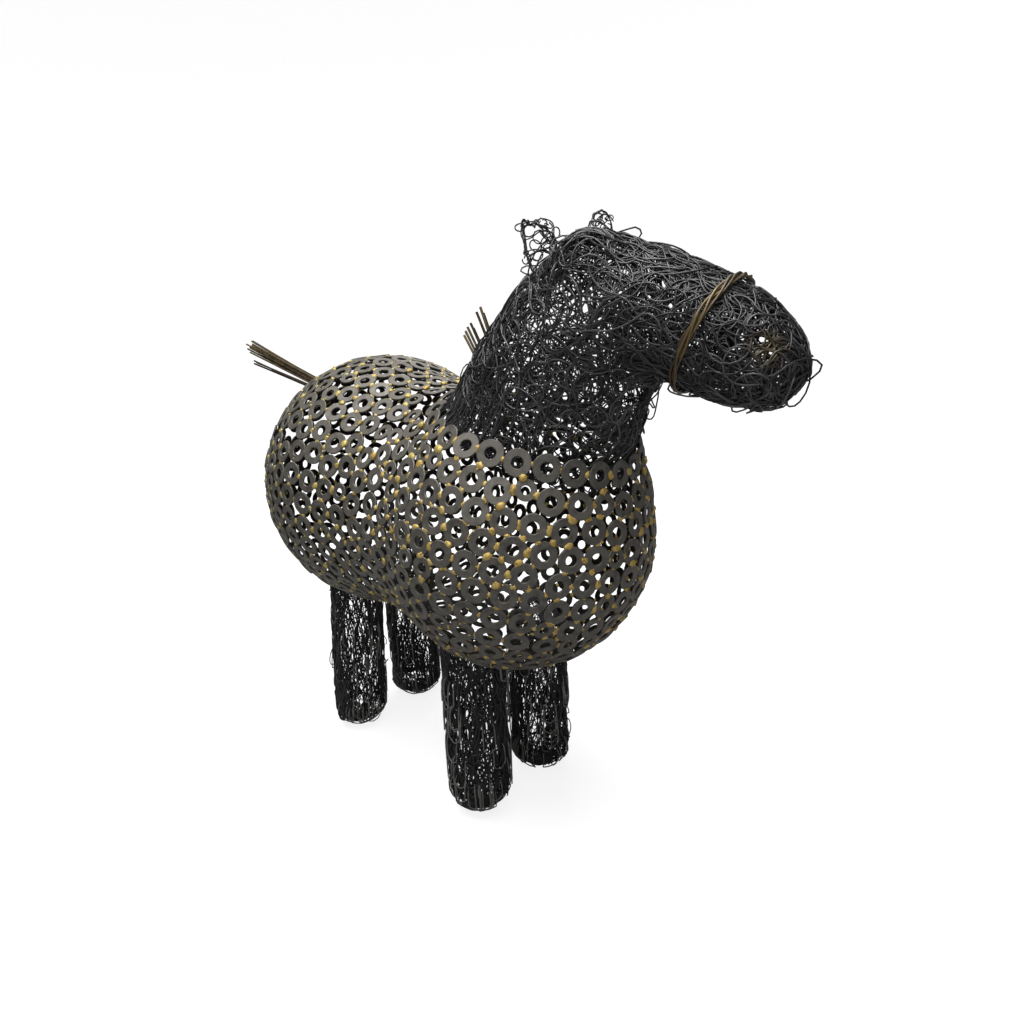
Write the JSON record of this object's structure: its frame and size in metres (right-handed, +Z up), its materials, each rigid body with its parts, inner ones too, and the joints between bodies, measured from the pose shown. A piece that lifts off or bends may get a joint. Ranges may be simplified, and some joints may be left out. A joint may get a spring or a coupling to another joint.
{
  "type": "pony sculpture",
  "caption": "Standing pony sculpture with a hollow openwork body of brazed steel washers, legs, neck and head of tangled black wire, and a tail of brazing rods.",
  "frame": {"origin": "on the ground plane under the middle of the whole length and width, tail included", "axes": "+Z up; the pony faces -Y, its tail points to +Y, and its left side is +X"},
  "size_m": [0.27, 0.7705, 0.5457],
  "materials": {
    "washer_steel": "heat-darkened mild steel washers with golden brazed joints",
    "black_wire": "black annealed wire, satin",
    "bronze_rod": "dull brown bronze rod and wire"
  },
  "bodies": {
    "root": {"body_shell": "washer_steel", "head_and_neck": "black_wire", "ear_left": "black_wire", "ear_right": "black_wire", "leg_front_left": "black_wire", "leg_front_right": "black_wire", "leg_rear_left": "black_wire", "leg_rear_right": "black_wire", "noseband": "bronze_rod", "tail": "bronze_rod", "mane_tuft": "bronze_rod"}
  },
  "joints": []
}
